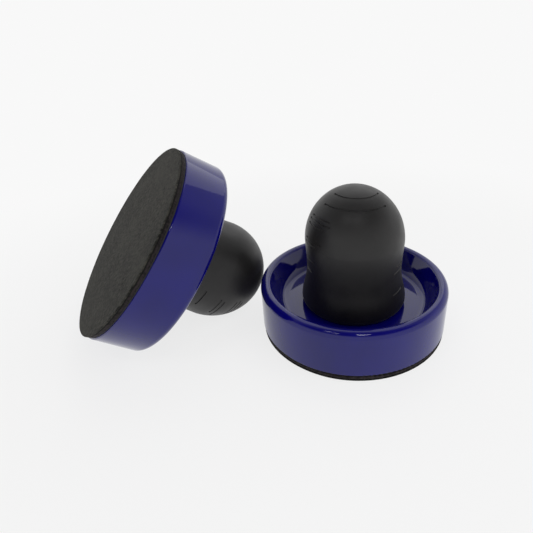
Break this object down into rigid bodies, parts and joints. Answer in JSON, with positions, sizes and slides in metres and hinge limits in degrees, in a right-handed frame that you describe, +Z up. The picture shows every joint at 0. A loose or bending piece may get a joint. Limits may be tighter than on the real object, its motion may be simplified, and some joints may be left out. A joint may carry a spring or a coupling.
{
  "type": "air hockey mallet pair",
  "caption": "Air hockey mallets with a felt pad under a glossy dish and a soft-touch grip, one standing and one lying on its side.",
  "frame": {"origin": "centre of the underside of the standing mallet's felt pad, on the table", "axes": "+Z up along the standing mallet's axis; the lying mallet is towards -X"},
  "size_m": [0.1889, 0.1018, 0.0911],
  "materials": {
    "felt": "dense pressed felt",
    "adhesive": "matt",
    "base_plastic": "matt",
    "screw_steel": "zinc plated",
    "dish_plastic": "high gloss",
    "core_plastic": "matt",
    "grip_rubber": "soft-touch matt"
  },
  "bodies": {
    "standing_mallet": {"standing_felt_pad": "felt", "standing_pad_adhesive": "adhesive", "standing_base_plate": "base_plastic", "standing_base_screws": "screw_steel", "standing_dish": "dish_plastic", "standing_grip_screws": "screw_steel", "standing_grip_core": "core_plastic", "standing_grip_skin": "grip_rubber"},
    "lying_mallet": {"lying_felt_pad": "felt", "lying_pad_adhesive": "adhesive", "lying_base_plate": "base_plastic", "lying_base_screws": "screw_steel", "lying_dish": "dish_plastic", "lying_grip_screws": "screw_steel", "lying_grip_core": "core_plastic", "lying_grip_skin": "grip_rubber"}
  },
  "joints": [
    {"name": "lying_mallet_lift", "type": "slide", "parent": "standing_mallet", "child": "lying_mallet", "axis": [0, 0, 1], "range_m": [0, 0.15]}
  ]
}
